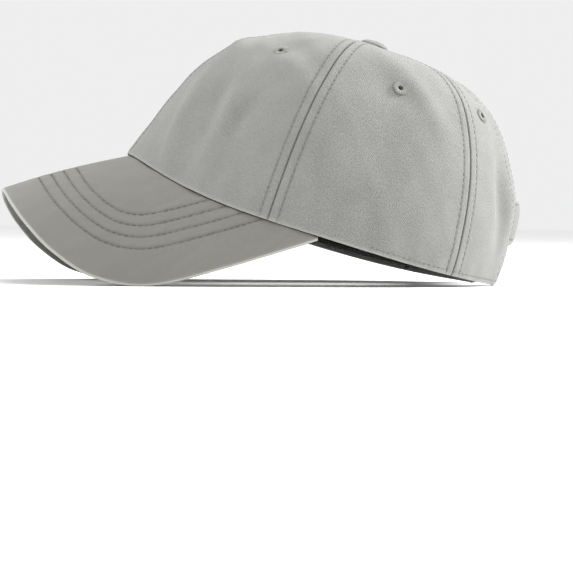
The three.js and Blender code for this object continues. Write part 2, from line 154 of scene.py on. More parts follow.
def table_at(rows, at, mirrored=False):
    """Smooth curve through the rows of a table, for an array of positions."""
    rows = np.array(rows, float)
    at = np.abs(np.asarray(at, float))
    knots, values = rows[:, 0], rows[:, 1:]
    slope = np.empty_like(values)
    slope[1:-1] = (values[2:] - values[:-2]) / (knots[2:] - knots[:-2])[:, None]
    slope[0] = (values[1] - values[0]) / (knots[1] - knots[0])
    slope[-1] = (values[-1] - values[-2]) / (knots[-1] - knots[-2])
    if mirrored:
        slope[0, 1:] = 0
    k = np.clip(np.searchsorted(knots, at, side="left") - 1, 0, len(knots) - 2)
    span = knots[k + 1] - knots[k]
    t = ((at - knots[k]) / span)[..., None]
    span = span[..., None]
    return ((2 * t**3 - 3 * t**2 + 1) * values[k] + (t**3 - 2 * t**2 + t) * slope[k] * span
            + (3 * t**2 - 2 * t**3) * values[k + 1] + (t**3 - t**2) * slope[k + 1] * span)


def unit(v):
    return v / np.maximum(np.linalg.norm(v, axis=-1, keepdims=True), 1e-12)


def walk(path):
    """Distance walked along a path to each of its points."""
    return np.concatenate([[0], np.cumsum(np.linalg.norm(np.diff(path, axis=0), axis=1))])


def crown_point(deg, level):
    """Smooth crown: degrees round from the front, and level from 0 at the button to 1 at the rim."""
    deg, level = np.broadcast_arrays(np.asarray(deg, float), np.asarray(level, float))
    c, s = np.cos(np.radians(deg)), np.sin(np.radians(deg))
    reach = np.where(c > 0, CROWN_FRONT, CROWN_BACK)
    rim_z = RIM_RISE * np.maximum(c, 0) ** 3.8 + RIM_TAIL * np.maximum(-c, 0) ** 2.6
    far = np.where(c[..., None] > 0, table_at(FRONT_PROFILE, level), table_at(NAPE_PROFILE, level))
    mix = far * (c * c)[..., None] + table_at(EAR_PROFILE, level) * (s * s)[..., None]
    out, up = mix[..., 0], mix[..., 1]
    return np.stack([
        HALF_WIDTH * s * out,
        -BUTTON_FORWARD + (-reach * c + BUTTON_FORWARD) * out,
        rim_z + (CROWN_HEIGHT - rim_z) * up,
    ], -1)


def crown_frame(deg, level):
    """Point, outward normal, direction down the cloth, direction round, millimetres in a degree."""
    deg, level = np.broadcast_arrays(np.asarray(deg, float), np.asarray(level, float))
    here = crown_point(deg, level)
    around = crown_point(deg + 0.2, level) - crown_point(deg - 0.2, level)
    above, below = np.maximum(level - 0.004, 0.002), np.minimum(level + 0.004, 1)
    down = unit(crown_point(deg, below) - crown_point(deg, above))
    per_degree = np.linalg.norm(around, axis=-1) / 0.4
    normal = unit(np.cross(around, down))
    lifted = here + np.array([0, 0, 40.0])
    normal = np.where((normal * lifted).sum(-1, keepdims=True) < 0, -normal, normal)
    return here, normal, down, unit(around), per_degree


def fold_axes(deg, level, turn):
    """Middle of a soft fold, its direction along and its direction across."""
    centre, normal, down, around, _ = crown_frame(deg, level)
    along = down * math.cos(math.radians(turn)) + around * math.sin(math.radians(turn))
    return centre, along, unit(np.cross(normal, along))


FOLD_AXES = [fold_axes(*row[:3]) for row in FOLDS]


def fold_relief(here):
    height = np.zeros(here.shape[:-1])
    for (centre, along, across), (*_, long, wide, rise) in zip(FOLD_AXES, FOLDS):
        d = here - centre
        a = (d @ along) / (long * HALF_WIDTH)
        b = (d @ across) / (wide * HALF_WIDTH)
        height += np.where(np.linalg.norm(d, axis=-1) > 60, 0, FOLD_DEPTH * rise * np.exp(-a * a - b * b))
    return height


def smooth(x):
    x = np.clip(x, 0, 1)
    return x * x * (3 - 2 * x)


def ripple(x, seed):
    """Uneven wave of about unit height along a length, the same on every run."""
    wave = np.sin(x + seed) + 0.6 * np.sin(x * 1.73 + seed * 2.3 + 1) + 0.4 * np.sin(x * 2.61 + seed * 0.7)
    return wave / 1.6


STITCH_IN = 4.6


def seam_relief(away, run, seed):
    """Cloth beside a sewn seam: a crease, a raised allowance, and a dip under the stitches."""
    crease = -0.75 * np.exp(-((away / 0.42) ** 2))
    raised = 0.22 * (1 - smooth((away - STITCH_IN + 0.2) / 1.8))
    dip = -0.26 * np.exp(-(((away - STITCH_IN) / 0.55) ** 2))
    pucker = 0.11 * ripple(run, seed) * np.exp(-(((away - STITCH_IN) / 1.6) ** 2))
    return crease + raised + dip + pucker


def slot_half(level):
    """Half width of the slot at a level: a round top, straight sides, round lower corners."""
    level = np.asarray(level, float)
    arch = np.clip((level - SLOT_TOP) / SLOT_ARCH, 0, 1)
    wide = np.maximum(GAP / 2, SLOT_HALF * np.sqrt(1 - (1 - arch) ** 2))
    span = SLOT_CORNER / PANEL_LENGTH
    corner = np.clip((level - 1 + span) / span, 0, 1)
    return np.where(level <= SLOT_TOP, 0.02, wide + SLOT_CORNER * (1 - np.sqrt(1 - corner**2)))


def back_angle(across, level):
    """Degrees round at which the back lies a given distance from its middle line."""
    across, level = np.broadcast_arrays(np.asarray(across, float), np.asarray(level, float))
    low, high = np.full(across.shape, 95.0), np.full(across.shape, 180.0)
    for _ in range(34):
        mid = (low + high) / 2
        wide = crown_point(mid, level)[..., 0] > across
        low, high = np.where(wide, mid, low), np.where(wide, high, mid)
    return (low + high) / 2


FINE = np.linspace(0, 1, 501)
BACK_WALK = walk(crown_point(180.0, FINE))
SLOT_LEVELS = np.concatenate([
    SLOT_TOP + SLOT_ARCH * np.linspace(0, 1, 60) ** 2, np.linspace(SLOT_TOP + SLOT_ARCH, 1, 200)[1:]])
SLOT_EDGE = np.stack([slot_half(SLOT_LEVELS), np.interp(SLOT_LEVELS, FINE, BACK_WALK)], -1)
SLOT_EDGE[0, 0] = 0


def slot_distance(across, level):
    """How far a place on the back lies from the edge of the slot."""
    flat = np.stack([np.abs(across), np.interp(level, FINE, BACK_WALK)], -1).reshape(-1, 2)
    best = np.full(len(flat), 1e9)
    for a, b in zip(SLOT_EDGE[:-1], SLOT_EDGE[1:]):
        ab = b - a
        t = np.clip(((flat - a) @ ab) / max(ab @ ab, 1e-9), 0, 1)
        best = np.minimum(best, np.linalg.norm(flat - a - t[:, None] * ab, axis=1))
    return best.reshape(np.shape(across))


def edge_bow(deg, level):
    """Outward bow of the slot's edges, where the strap pulls on them."""
    return EDGE_BOW * np.exp(-(((level - BOW_LEVEL) / 0.13) ** 2)) * smooth((np.abs(deg) - 148) / 17)


def crown_relief(deg, level):
    """Everything the cloth does over the smooth crown."""
    here, _, _, _, per_degree = crown_frame(deg, level)
    run = np.interp(level, FINE, BACK_WALK)
    deg, level = np.broadcast_arrays(np.asarray(deg, float), np.asarray(level, float))
    height = fold_relief(here)
    fade = np.minimum(per_degree / 0.45, 1) ** 1.5
    for k, seam in enumerate((0, FRONT_SEAM, SIDE_SEAM, 180)):
        away = np.abs(np.abs(deg) - seam) * per_degree
        part = seam_relief(away, run, seam + np.sign(deg) * 1.7 + k)
        if seam == 180:
            part = part * (level < SLOT_TOP)
        height += part * fade
    behind = np.abs(deg) > SIDE_SEAM - 5
    back = np.full(here.shape[:-1], 99.0)
    if np.any(behind):
        back[behind] = slot_distance(here[..., 0][behind], np.asarray(level)[behind])
    hem = 0.4 * (1 - smooth((back - 8.0) / 2.0)) - 0.28 * np.exp(-(((back - 7.6) / 0.8) ** 2))
    hem += (0.16 * ripple(run / 1.4, 3.1) * np.exp(-(((back - 7) / 4) ** 2))
            - 0.5 * np.exp(-((back / 0.8) ** 2)))
    height += np.where(behind & (level > SLOT_TOP - 0.08), hem, 0)
    height += edge_bow(deg, level)
    rim = (1 - level) * PANEL_LENGTH
    height += -0.45 * np.exp(-((rim / 0.9) ** 2))
    height += 0.35 * ripple(deg / 3.1, 0.4) * np.exp(-((rim / 9) ** 2))
    return height + (0.12 * ripple(here[..., 1] / 5.2 + here[..., 2] / 7.3, 1.9)
                     + 0.1 * ripple(here[..., 0] / 6.1 - here[..., 2] / 9.1, 4.4))


def cloth_point(deg, level):
    """Outer face of the cloth, and the smooth crown's normal there."""
    deg, level = np.broadcast_arrays(np.asarray(deg, float), np.asarray(level, float))
    here, normal, *_ = crown_frame(deg, level)
    return here + normal * crown_relief(deg, level)[..., None], normal


def levels_above(deg, distances):
    """Levels that lie the given distances up the cloth from the rim, a row for each distance."""
    deg = np.atleast_1d(np.asarray(deg, float))
    levels = np.linspace(1, 0.4, 151)
    paths = crown_point(deg[:, None], levels[None])
    return np.stack([np.interp(distances, walk(path), levels) for path in paths], -1)


def peak_point(share, out):
    """Smooth peak: share from -1 to 1 along it, and out from 0 at the crown to 1 at its edge."""
    share, out = np.broadcast_arrays(np.asarray(share, float), np.asarray(out, float))
    deg = share * PEAK_SPREAD
    here, normal, down, *_ = crown_frame(deg, 1.0)
    inner = here + normal * (fold_relief(here) - CLOTH)[..., None] + down * GAP
    edge = table_at(PEAK_EDGE, share, True)
    end = crown_point(PEAK_SPREAD, 1.0)
    tip = crown_point(0.0, 1.0)[1] - PEAK_REACH
    outer = np.stack([
        np.sign(share) * edge[..., 0] * HALF_WIDTH,
        end[1] + (tip - end[1]) * edge[..., 1],
        end[2] - edge[..., 2] * PEAK_DROP - PEAK_END * np.abs(share) ** 6,
    ], -1)
    return inner + (outer - inner) * out[..., None]


def peak_normal(share, out):
    s = np.clip(share, -0.9, 0.9)
    across = peak_point(s + 0.01, out) - peak_point(s - 0.01, out)
    along = peak_point(s, np.minimum(out + 0.02, 1)) - peak_point(s, np.maximum(out - 0.02, 0))
    n = unit(np.cross(across, along))
    return np.where(n[..., 2:] < 0, -n, n)


def peak_cloth(share, out, depth, lift=0.0):
    share, out, depth = np.broadcast_arrays(*(np.asarray(v, float) for v in (share, out, depth)))
    swell = PEAK_SWELL * np.sin(np.pi * out) * (1 - np.abs(share) ** 3)
    return peak_point(share, out) + peak_normal(share, out) * (swell + lift - depth)[..., None]


TO_ROW = np.array([
    [1, 0, 0],
    [0, math.cos(LEAN), math.sin(LEAN)],
    [0, -math.sin(LEAN), math.cos(LEAN)],
])


def to_row(points):
    """From the upright cap, in millimetres, to the row frame, in metres."""
    return (np.asarray(points, float) @ TO_ROW.T + np.array(SHIFT)) / 1000


def turn_to_row(vectors):
    return np.asarray(vectors, float) @ TO_ROW.T


def new_object(bm, name, material):
    """Makes a bmesh an object in the scene."""
    mesh = bpy.data.meshes.new(name)
    bm.to_mesh(mesh)
    bm.free()
    for poly in mesh.polygons:
        poly.use_smooth = True
    obj = bpy.data.objects.new(name, mesh)
    bpy.context.scene.collection.objects.link(obj)
    mesh.materials.append(material)
    return obj


def finish_sheet(bm, name, material):
    """Makes a sheet of cloth a piece of the cap."""
    obj = new_object(bm, name, material)
    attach(obj, "root")
    return obj


def finish_mesh(bm, name, material):
    """Makes a closed shape a piece of the cap, with its faces turned outwards."""
    bmesh.ops.recalc_face_normals(bm, faces=bm.faces)
    return finish_sheet(bm, name, material)


def laid_grid(points, coords, **fields):
    """Grid laid on a surface, its vertices at points[j, i], with the cloth's own plane in coords, in mm."""
    rows, cols = points.shape[:2]
    bm = bmesh.new()
    layers = {key: bm.verts.layers.float.new(key) for key in fields}
    bmesh.ops.create_grid(bm, x_segments=cols - 1, y_segments=rows - 1, size=1.0)
    uv = bm.loops.layers.uv.new("cloth")
    place = {}
    for v in bm.verts:
        i = int(round((v.co.x + 1) / 2 * (cols - 1)))
        j = int(round((v.co.y + 1) / 2 * (rows - 1)))
        place[v] = (j, i)
    for face in bm.faces:
        for loop in face.loops:
            j, i = place[loop.vert]
            loop[uv].uv = coords[j, i] / 1000
    for v, (j, i) in place.items():
        v.co = Vector(points[j, i])
        for key, layer in layers.items():
            v[layer] = float(fields[key][j, i])
    bm.normal_update()
    return bm


INSIDE = Vector(to_row([0, 0, 30.0]))


def face_out(bm):
    """Turns a sheet so that its faces look away from the middle of the cap."""
    score = sum((f.calc_center_median() - INSIDE).dot(f.normal) for f in bm.faces)
    if score < 0:
        bmesh.ops.reverse_faces(bm, faces=bm.faces)


def face_in(bm):
    face_out(bm)
    bmesh.ops.reverse_faces(bm, faces=bm.faces)


def placed(centre, axes):
    """Matrix whose columns are three axes in metres and a centre."""
    return Matrix([[*(float(a[r]) for a in axes), float(centre[r])] for r in range(3)] + [[0, 0, 0, 1]])


def ovals(places, subdivisions=1):
    """Small round-ended threads, one for each matrix, made a few at a time and joined."""
    whole = bmesh.new()
    for first in range(0, len(places), 24):
        few = bmesh.new()
        for place in places[first:first + 24]:
            bmesh.ops.create_icosphere(few, subdivisions=subdivisions, radius=1.0, matrix=place)
        mesh = bpy.data.meshes.new("few")
        few.to_mesh(mesh)
        few.free()
        whole.from_mesh(mesh)
        bpy.data.meshes.remove(mesh)
    return whole


def stitches(name, rows, material, length=2.35, gap=0.75, thick=0.3, sink=0.05):
    """Rows of thread. Each row is (points, normals) along its path, in the upright frame."""
    places = []
    for row, (points, normals) in enumerate(rows):
        walked = walk(points)

        def at(where, values):
            return np.stack([np.interp(where, walked, values[:, c]) for c in range(3)], -1)

        n = max(int(walked[-1] / (length + gap)), 1)
        mid = (np.arange(n) + 0.5) * walked[-1] / n
        a, b = at(mid - length / 2, points), at(mid + length / 2, points)
        z = unit(at(mid, normals))
        wob = np.sin(np.arange(n) * 2.399 + row)[:, None]
        x = unit(unit(b - a) + np.cross(z, unit(b - a)) * wob * 0.06)
        y = unit(np.cross(z, x))
        z = np.cross(x, y)
        centre = to_row((a + b) / 2 + z * (thick * 0.5 - sink))
        size = (length * (0.535 + 0.015 * wob), thick, thick * 0.8)
        axes = [turn_to_row(axis) * s / 1000 for axis, s in zip((x, y, z), size)]
        places += [placed(c, three) for c, three in zip(centre, zip(*axes))]
    return finish_mesh(ovals(places), name, material)


# Shader groups, each built once.
def new_group(name, inputs, outputs):
    tree = bpy.data.node_groups.new(name, "ShaderNodeTree")
    for label, kind, value in inputs:
        socket = tree.interface.new_socket(label, in_out="INPUT", socket_type=kind)
        socket.default_value = value
    for label, kind in outputs:
        tree.interface.new_socket(label, in_out="OUTPUT", socket_type=kind)
    return tree, tree.nodes.new("NodeGroupInput"), tree.nodes.new("NodeGroupOutput")


def calc(tree, kind, a, b=None):
    node = tree.nodes.new("ShaderNodeMath")
    node.operation = kind
    for k, v in enumerate((a, b)):
        if v is None:
            continue
        if isinstance(v, (int, float)):
            node.inputs[k].default_value = v
        else:
            tree.links.new(v, node.inputs[k])
    return node.outputs[0]


def noise(tree, vector, stretch, scale, detail=2.0, rough=0.5):
    move = tree.nodes.new("ShaderNodeMapping")
    move.inputs["Scale"].default_value = stretch
    tree.links.new(vector, move.inputs["Vector"])
    node = tree.nodes.new("ShaderNodeTexNoise")
    node.inputs["Scale"].default_value = scale
    node.inputs["Detail"].default_value = detail
    node.inputs["Roughness"].default_value = rough
    tree.links.new(move.outputs[0], node.inputs["Vector"])
    return node.outputs["Fac"]


def brushed_twill():
    """Twill lines under a brushed nap: streaks along the warp, fuzz, and soft uneven shade."""
    tree, give, take = new_group("brushed_twill", [
        ("Millimetres", "NodeSocketVector", (0, 0, 0)),
        ("Light", "NodeSocketColor", (0.4, 0.4, 0.37, 1)),
        ("Dark", "NodeSocketColor", (0.3, 0.3, 0.27, 1)),
        ("Streaks", "NodeSocketFloat", 1.0),
        ("Lines", "NodeSocketFloat", 1.0),
    ], [("Color", "NodeSocketColor"), ("Height", "NodeSocketFloat")])
    at = give.outputs["Millimetres"]
    streak = noise(tree, at, (1.0, 0.4, 1.0), 1.9, 2.0, 0.6)
    fuzz = noise(tree, at, (1.0, 0.6, 1.0), 2.1, 3.0, 0.7)
    patch = noise(tree, at, (1.0, 0.6, 1.0), 0.09, 2.0, 0.5)
    split = tree.nodes.new("ShaderNodeSeparateXYZ")
    tree.links.new(at, split.inputs[0])
    slant = calc(tree, "ADD", split.outputs[0], calc(tree, "MULTIPLY", split.outputs[1], 0.3))
    bent = calc(tree, "ADD", slant, calc(tree, "MULTIPLY", fuzz, 0.5))
    line = calc(tree, "SINE", calc(tree, "MULTIPLY", bent, 2 * math.pi / 0.85))
    line = calc(tree, "MULTIPLY", line, give.outputs["Lines"])
    off = calc(tree, "SUBTRACT", streak, 0.5)
    off = calc(tree, "MULTIPLY", off, give.outputs["Streaks"])
    nap = calc(tree, "SUBTRACT", fuzz, 0.5)
    height = calc(tree, "ADD", off, calc(tree, "MULTIPLY", nap, 0.9))
    height = calc(tree, "ADD", height, calc(tree, "MULTIPLY", line, 0.3))
    tree.links.new(height, take.inputs["Height"])
    shade = calc(tree, "ADD", calc(tree, "MULTIPLY", off, 1.4), calc(tree, "MULTIPLY", nap, 1.7))
    shade = calc(tree, "ADD", shade, calc(tree, "MULTIPLY", calc(tree, "SUBTRACT", patch, 0.5), 0.6))
    shade = calc(tree, "ADD", shade, calc(tree, "MULTIPLY", line, 0.14))
    fac = tree.nodes.new("ShaderNodeClamp")
    tree.links.new(calc(tree, "ADD", shade, 0.5), fac.inputs[0])
    mix = tree.nodes.new("ShaderNodeMix")
    mix.data_type = "RGBA"
    tree.links.new(fac.outputs[0], mix.inputs[0])
    tree.links.new(give.outputs["Dark"], mix.inputs[6])
    tree.links.new(give.outputs["Light"], mix.inputs[7])
    tree.links.new(mix.outputs[2], take.inputs["Color"])
    return tree


def painted_shade_and_highlight():
    """Paints shade into a colour where the cloth is creased or held down by stitches, and paints a
    highlight on raised edges.
    """
    tree, give, take = new_group("painted_shade_and_highlight", [
        ("Color", "NodeSocketColor", (0.4, 0.4, 0.37, 1)),
        ("Painted Shade", "NodeSocketFloat", 0.0),
        ("Painted Highlight", "NodeSocketFloat", 0.0),
    ], [("Color", "NodeSocketColor")])
    deep = tree.nodes.new("ShaderNodeMix")
    deep.data_type = "RGBA"
    deep.blend_type = "MULTIPLY"
    # Colour multiplied in as painted shade where the cloth is creased.
    deep.inputs[7].default_value = (0.42, 0.41, 0.38, 1)
    tree.links.new(give.outputs["Painted Shade"], deep.inputs[0])
    tree.links.new(give.outputs["Color"], deep.inputs[6])
    pale = tree.nodes.new("ShaderNodeMix")
    pale.data_type = "RGBA"
    # Colour mixed in as a painted highlight on raised edges.
    pale.inputs[7].default_value = (0.62, 0.62, 0.58, 1)
    tree.links.new(give.outputs["Painted Highlight"], pale.inputs[0])
    tree.links.new(deep.outputs[2], pale.inputs[6])
    tree.links.new(pale.outputs[2], take.inputs["Color"])
    return tree


TWILL = brushed_twill()
CREASE = painted_shade_and_highlight()


def cloth_material(name, light, dark, streaks, lines, bump, coords="UV", sheen=0.25, rough=0.92,
                   creased=False):
    mat = bpy.data.materials.new(name)
    mat.use_nodes = True
    tree = mat.node_tree
    shader = next(n for n in tree.nodes if n.type == "BSDF_PRINCIPLED")
    if coords == "UV":
        source = tree.nodes.new("ShaderNodeUVMap")
        source.uv_map = "cloth"
        out = source.outputs[0]
    else:
        source = tree.nodes.new("ShaderNodeTexCoord")
        out = source.outputs["Object"]
    scale = tree.nodes.new("ShaderNodeVectorMath")
    scale.operation = "SCALE"
    scale.inputs["Scale"].default_value = 1000
    tree.links.new(out, scale.inputs[0])
    weave = tree.nodes.new("ShaderNodeGroup")
    weave.node_tree = TWILL
    weave.inputs["Light"].default_value = (*light, 1)
    weave.inputs["Dark"].default_value = (*dark, 1)
    weave.inputs["Streaks"].default_value = streaks
    weave.inputs["Lines"].default_value = lines
    tree.links.new(scale.outputs[0], weave.inputs["Millimetres"])
    color = weave.outputs["Color"]
    # Painted shade in creases and a painted highlight on raised edges, read from the mesh's attributes.
    if creased:
        attr = tree.nodes.new("ShaderNodeAttribute")
        attr.attribute_name = "crease"
        worn = tree.nodes.new("ShaderNodeAttribute")
        worn.attribute_name = "worn"
        fold = tree.nodes.new("ShaderNodeGroup")
        fold.node_tree = CREASE
        tree.links.new(color, fold.inputs["Color"])
        tree.links.new(attr.outputs["Fac"], fold.inputs["Painted Shade"])
        tree.links.new(worn.outputs["Fac"], fold.inputs["Painted Highlight"])
        color = fold.outputs["Color"]
    tree.links.new(color, shader.inputs["Base Color"])
    bumps = tree.nodes.new("ShaderNodeBump")
    bumps.inputs["Strength"].default_value = bump
    bumps.inputs["Distance"].default_value = 0.0004
    tree.links.new(weave.outputs["Height"], bumps.inputs["Height"])
    tree.links.new(bumps.outputs[0], shader.inputs["Normal"])
    shader.inputs["Roughness"].default_value = rough
    shader.inputs["Sheen Weight"].default_value = sheen
    shader.inputs["Sheen Roughness"].default_value = 0.6
    shader.inputs["Specular IOR Level"].default_value = 0.15
    return mat


CROWN_LIGHT, CROWN_DARK = (0.262, 0.262, 0.247), (0.165, 0.165, 0.155)
CROWN_WEAVE = dict(streaks=1.0, lines=1.0, bump=0.55)
THREAD = dict(streaks=0.5, lines=0.6, bump=0.3, coords="Object")
CROWN_CLOTH = cloth_material("crown_twill", CROWN_LIGHT, CROWN_DARK, creased=True, **CROWN_WEAVE)
CROWN_PLAIN = cloth_material("crown_twill_small", CROWN_LIGHT, CROWN_DARK, coords="Object", **CROWN_WEAVE)
# The peak's twill is the crown's cloth coloured darker: painted shade for the peak, which tilts down away
# from the light.
PEAK_SHADED_TWILL = cloth_material(
    "peak_twill", (0.187, 0.184, 0.163), (0.138, 0.136, 0.12), 0.55, 0.7, 0.3, creased=True)
# The sweatband is coloured to the depth of the shade inside the crown: painted shade.
BAND_SHADED_TWILL = cloth_material("sweatband_cloth", (0.06, 0.06, 0.058), (0.038, 0.038, 0.037), 0.6, 1.0, 0.5)
LABEL_CLOTH = cloth_material(
    "label_cloth", (0.014, 0.013, 0.013), (0.008, 0.008, 0.008), 0.2, 0.4, 0.2, rough=0.6, sheen=0.1)
# Seam and peak threads are coloured darker than the cloth, as painted shade of the sunk stitches.
SEAM_THREAD = cloth_material("seam_thread", (0.15, 0.15, 0.138), (0.1, 0.1, 0.092), rough=0.75, **THREAD)
PEAK_THREAD = cloth_material(
    "peak_thread", (0.12, 0.12, 0.107), (0.085, 0.085, 0.076), rough=0.75, **THREAD)
EYELET_THREAD = cloth_material("eyelet_thread", (0.29, 0.29, 0.268), (0.2, 0.2, 0.185), rough=0.7, **THREAD)
# Thread darkened with the sweatband, as painted shade.
BAND_SHADED_THREAD = cloth_material("band_thread", (0.05, 0.05, 0.047), (0.035, 0.035, 0.033), rough=0.8, **THREAD)


def solid(obj, thickness):
    """Gives a sheet its thickness, in millimetres, behind its faces."""
    mod = obj.modifiers.new("thickness", "SOLIDIFY")
    mod.thickness = thickness / 1000
    mod.offset = -1
    mod.use_even_offset = False
    return obj


# Crown panels: columns lie close together beside a seam, and rows beside the rim and the slot's top.
NEAR_SEAM = np.array([
    0, 0.3, 0.6, 0.95, 1.4, 2.0, 2.8, 3.5, 3.95, 4.3, 4.6, 4.9, 5.3, 5.9, 6.8, 7.6, 8.4, 9.6, 11.2])
TOP_LEVEL = 0.012


def panel_levels(back):
    rim = 1 - np.array([0, 0.35, 0.7, 1.1, 1.6, 2.3]) / PANEL_LENGTH
    if not back:
        return np.concatenate([np.linspace(TOP_LEVEL, rim[-1] - 0.008, 112), rim[::-1]])
    arch = SLOT_TOP + SLOT_ARCH * np.linspace(0, 1, 26) ** 2
    return np.concatenate([
        np.linspace(TOP_LEVEL, SLOT_TOP, 33)[:-1], arch,
        np.linspace(arch[-1], rim[-1] - 0.008, 76)[1:], rim[::-1],
    ])


def make_panel(name, side, start, stop):
    back = stop == 180
    levels = panel_levels(back)
    stop_deg = back_angle(slot_half(levels), levels) if back else np.full(levels.shape, float(stop))
    cols = 38 + 2 * len(NEAR_SEAM)
    deg, run = np.empty((2, len(levels), cols))
    for j, (level, last) in enumerate(zip(levels, stop_deg)):
        ruler = np.linspace(start, last, 60)
        walked = walk(crown_point(ruler, level))
        wide = walked[-1]
        edge = NEAR_SEAM * min(1, wide / 2 * 0.8 / NEAR_SEAM[-1])
        middle = np.linspace(edge[-1], wide - edge[-1], 40)[1:-1]
        at = np.concatenate([edge, middle, (wide - edge)[::-1]])
        deg[j] = np.interp(at, walked, ruler)
        run[j] = at if back else at - wide / 2
    grid_level = np.repeat(levels[:, None], cols, 1)
    signed = deg * side
    points = to_row(cloth_point(signed, grid_level)[0])
    per_degree = crown_frame(signed, grid_level)[4]
    coords = np.stack([run * side + 3 * start, np.interp(grid_level, FINE, BACK_WALK)], -1)
    from_edge = np.minimum((deg - start) * per_degree, (stop_deg[:, None] - deg) * per_degree)
    # Painted shade: darker in the seam creases and along the stitch rows.
    stitched = np.exp(-(((from_edge - STITCH_IN) / 0.7) ** 2)) * 0.35
    crease = np.maximum(np.exp(-((from_edge / 0.42) ** 2)) * 0.95, stitched)
    crease *= np.minimum(per_degree / 0.3, 1)
    # Painted highlight along the rolled rim.
    worn = 0.25 * np.exp(-(((1 - grid_level) * PANEL_LENGTH) ** 2))
    bm = laid_grid(points, coords, crease=crease, worn=worn)
    face_out(bm)
    for hole_deg, hole_level in EYELETS.values():
        if np.sign(hole_deg) == side and start < abs(hole_deg) < stop:
            hole = Vector(to_row(cloth_point(hole_deg, hole_level)[0]))
            gone = [f for f in bm.faces if (f.calc_center_median() - hole).length < EYELET_CUT / 1000]
            bmesh.ops.delete(bm, geom=gone, context="FACES")
    return solid(finish_sheet(bm, name, CROWN_CLOTH), CLOTH)


for side, word in SIDES:
    for part, (start, stop, *_) in EYELET_PLACES.items():
        panel = make_panel(f"cloth_{part}_{word}", side, start, stop)
        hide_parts(f"panel_{part}_{word}")


# Peak: one closed skin round the stiffened brim, with its rows of stitching pressed in.
PEAK_ROWS = (19.0, 25.5, 32.0, 38.5)
EDGE_SHARES = np.linspace(-1, 1, 401)
EDGE_LINE = peak_cloth(EDGE_SHARES, 1.0, 0)
EDGE_TREE = KDTree(len(EDGE_LINE))
for k, point in enumerate(EDGE_LINE):
    EDGE_TREE.insert(point, k)
EDGE_TREE.balance()


def edge_distance(share, out):
    """Distance in from the outer edge of the peak."""
    points = peak_point(share, out)
    found = [EDGE_TREE.find(p)[2] for p in points.reshape(-1, 3)]
    return np.array(found).reshape(points.shape[:-1])


def peak_relief(inward, run):
    """Grooves that the rows of stitches press into the peak, and the cloth's own unevenness."""
    height = np.zeros(inward.shape)
    for k, row in enumerate(PEAK_ROWS):
        height -= 0.34 * np.exp(-(((inward - row) / 0.8) ** 2))
        height += 0.13 * np.sin(run * 2 * math.pi / 3.1 + k * 1.7) * np.exp(-(((inward - row) / 1.5) ** 2))
        height += 0.12 * ripple(run / 2.3, k * 2.1) * np.exp(-(((inward - row) / 4) ** 2))
    return height + 0.08 * ripple(run / 11, 2.2) * smooth(inward / 8)


def make_peak():
    cols = 321
    share = np.sin(np.linspace(-1, 1, cols) * 1.36) / math.sin(1.36)
    top = np.linspace(0, 1, 124) ** 0.97
    under = np.linspace(1, 0, 50)
    walked = walk(peak_cloth(share, 1.0, 0))
    length = np.linalg.norm(peak_point(share, 1.0) - peak_point(share, 0.0), axis=-1)
    radius = np.minimum(PEAK_THICK / 2, length * 0.4)
    last = 1 - radius / length
    out = top[:, None] * last
    inward = edge_distance(share[None], out)
    run = np.repeat(walked[None], len(top), 0)
    rows = list(peak_cloth(share[None], out, 0, peak_relief(inward, run)))
    inwards = list(inward)
    normal = peak_normal(share, last)
    outward = unit(peak_point(share, 1.0) - peak_point(share, 0.0))
    middle = peak_cloth(share, last, PEAK_THICK / 2)
    for angle in np.radians((26, 52, 78, 102, 128, 154)):
        rows.append(middle + outward * (radius * math.sin(angle))[:, None]
                    + normal * (PEAK_THICK / 2 * math.cos(angle)))
        inwards.append(-np.full(cols, angle))
    out = under[:, None] * last
    inward = edge_distance(share[None], out)
    run = np.repeat(walked[None], len(under), 0)
    rows += list(peak_cloth(share[None], out, PEAK_THICK, -peak_relief(inward, run)))
    inwards += list(-5 - inward)
    points, inwards = np.array(rows), np.array(inwards)
    run = np.repeat(walked[None], len(rows), 0)
    coords = np.stack([run, inwards], -1)
    # Painted shade along the peak's rows of stitches.
    crease = np.zeros(inwards.shape)
    for row in PEAK_ROWS:
        crease = np.maximum(crease, 0.4 * np.exp(-(((inwards - row) / 0.8) ** 2)))
    # Painted highlight round the peak's rounded outer edge.
    worn = 0.5 * np.exp(-(((inwards + 1) / 1.4) ** 2)) * (inwards > -4)
    bm = laid_grid(to_row(points), coords, crease=crease, worn=worn)
    bmesh.ops.holes_fill(bm, edges=[e for e in bm.edges if e.is_boundary], sides=0)
    return finish_mesh(bm, "peak_cloth", PEAK_SHADED_TWILL)


peak = make_peak()
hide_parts("peak_top_cover", "peak_under_cover")


ROW_SHARES = np.linspace(-0.97, 0.97, 420)
ROW_OUTS = np.linspace(0.004, 0.996, 90)
ROW_GRID = edge_distance(ROW_SHARES[:, None], ROW_OUTS[None])


def peak_row(row, depth, lift):
    """Path of a row of stitches that keeps its distance from the outer edge."""
    kept = ROW_GRID[:, 0] >= row
    share = ROW_SHARES[kept]
    out = np.array([np.interp(-row, -line, ROW_OUTS) for line in ROW_GRID[kept]])
    normal = peak_normal(share, out)
    return peak_cloth(share, out, depth, lift), normal if depth == 0 else -normal


for name, depth, lift in (("peak_stitches", 0, -0.28), ("peak_stitches_under", PEAK_THICK, 0.28)):
    rows = [peak_row(inset, depth, lift) for inset in PEAK_ROWS]
    stitches(name, rows, PEAK_THREAD, length=2.3, gap=0.8, thick=0.26)


# Topstitching on the crown: beside the seams, round the slot, and along the rim.
def seam_rows():
    rows = []
    levels = np.linspace(0.1, 0.988, 200)
    for side in (1, -1):
        for seam in (0, FRONT_SEAM, SIDE_SEAM):
            for way in (1, -1):
                if seam == 0 and way == -1:
                    continue
                per = crown_frame(side * seam, levels)[4]
                rows.append(cloth_point(side * (seam + way * STITCH_IN / per), levels))
        upper = levels[levels < SLOT_TOP - 0.045]
        per = crown_frame(180.0, upper)[4]
        rows.append(cloth_point(side * (180 - STITCH_IN / per), upper))
    return rows


